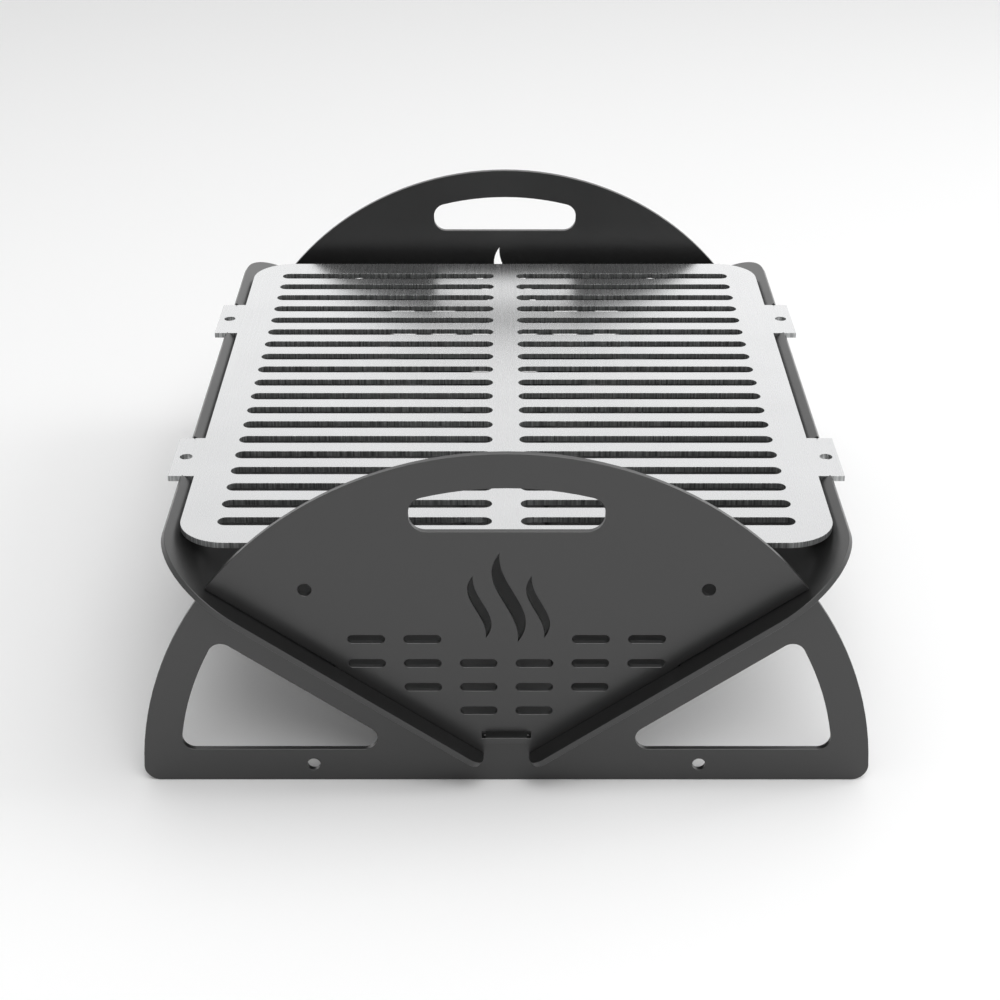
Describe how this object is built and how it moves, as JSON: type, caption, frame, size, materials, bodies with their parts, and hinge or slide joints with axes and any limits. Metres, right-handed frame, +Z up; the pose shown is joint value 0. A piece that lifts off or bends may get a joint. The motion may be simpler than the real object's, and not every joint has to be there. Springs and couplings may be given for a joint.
{
  "type": "camp grill",
  "caption": "Flat-pack camp grill: half-disc end plates, leaning half-lapped side panels, a floor strip and a lift-off slotted cooking grate.",
  "frame": {"origin": "on the ground, at the middle of the footprint", "axes": "+X to the right and +Y to the back end plate, across and along the grill, +Z up"},
  "size_m": [0.3596, 0.4486, 0.18],
  "materials": {
    "black_coat": "dark grey heat-resistant coat, satin with a fine orange peel",
    "stainless": "lightly brushed stainless sheet"
  },
  "bodies": {
    "frame": {"end_plate_front": "black_coat", "end_plate_back": "black_coat", "floor_strip": "black_coat"},
    "left_panel": {"side_panel_left": "black_coat"},
    "right_panel": {"side_panel_right": "black_coat"},
    "grate": {"cooking_grate": "stainless"}
  },
  "joints": [
    {"name": "grate_lift", "type": "slide", "parent": "frame", "child": "grate", "axis": [0, 0, 1], "range_m": [0, 0.2]},
    {"name": "left_panel_slide", "type": "slide", "parent": "frame", "child": "left_panel", "axis": [-0.8192, 0, 0.5736], "range_m": [0, 0.17]},
    {"name": "right_panel_slide", "type": "slide", "parent": "frame", "child": "right_panel", "axis": [0.8192, 0, 0.5736], "range_m": [0, 0.17]}
  ],
  "couplings": [
    {"joint": "left_panel_slide", "follows": "grate_lift", "ratio": 0.85},
    {"joint": "right_panel_slide", "follows": "grate_lift", "ratio": 0.85}
  ]
}
